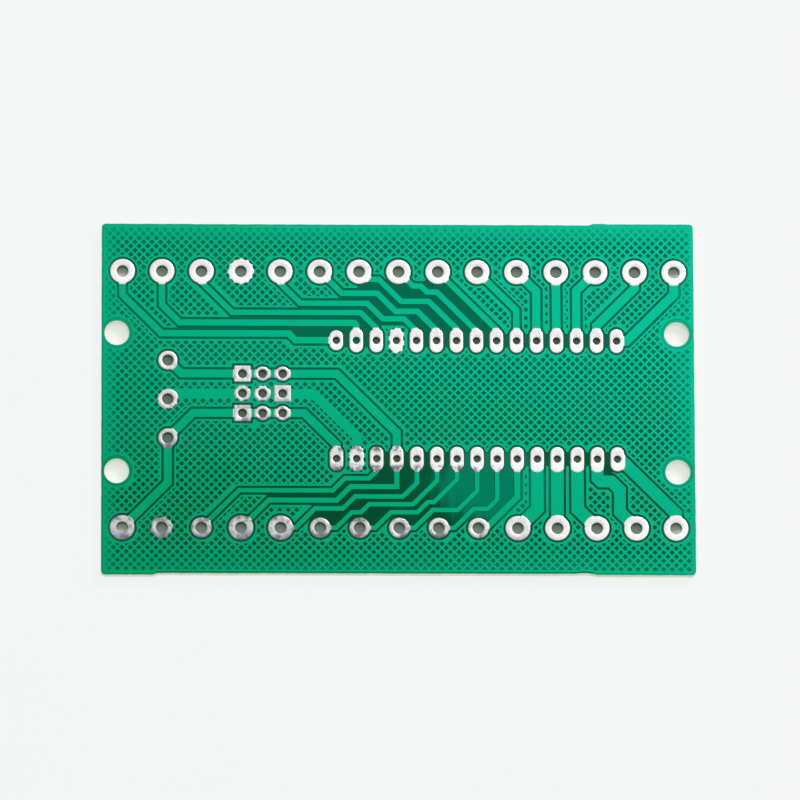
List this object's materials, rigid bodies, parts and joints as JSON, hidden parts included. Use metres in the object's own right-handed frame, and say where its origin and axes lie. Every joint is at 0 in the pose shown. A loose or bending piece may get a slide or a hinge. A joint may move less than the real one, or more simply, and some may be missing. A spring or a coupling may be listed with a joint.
{
  "type": "microcontroller terminal adapter board",
  "caption": "Flat bare circuit board that fans a two-row microcontroller module socket out to plated screw-terminal pads along both long edges, with a ground plane and corner mounting holes.",
  "frame": {"origin": "centre of the board's outline, on its underside", "axes": "+Z out of the side with the tracks, +X along the terminal rows towards the unpowered end, +Y towards the upper terminal row"},
  "size_m": [0.0752, 0.0454, 0.0016],
  "materials": {
    "laminate": "woven glass and epoxy, sawn edge",
    "mask_front": "green solder mask, satin gloss",
    "mask_back": "green solder mask over bare laminate",
    "tinned_copper": "hot-air levelled tin over copper"
  },
  "bodies": {
    "root": {"fr4_laminate": "laminate", "solder_mask_front": "mask_front", "solder_mask_back": "mask_back", "ground_plane": "tinned_copper", "signal_tx": "tinned_copper", "signal_rx": "tinned_copper", "signal_reset_upper": "tinned_copper", "signal_d2": "tinned_copper", "signal_d3": "tinned_copper", "signal_d4": "tinned_copper", "signal_d5": "tinned_copper", "signal_d6": "tinned_copper", "signal_d7": "tinned_copper", "signal_d8": "tinned_copper", "signal_d9": "tinned_copper", "signal_d10": "tinned_copper", "signal_d11": "tinned_copper", "signal_d12": "tinned_copper", "signal_reset_lower": "tinned_copper", "signal_a7": "tinned_copper", "signal_a6": "tinned_copper", "signal_a5": "tinned_copper", "signal_a4": "tinned_copper", "signal_a3": "tinned_copper", "signal_a2": "tinned_copper", "signal_a1": "tinned_copper", "signal_a0": "tinned_copper", "signal_aref": "tinned_copper", "supply_3v3": "tinned_copper", "signal_d13": "tinned_copper", "supply_vin": "tinned_copper", "supply_5v": "tinned_copper"}
  },
  "joints": []
}
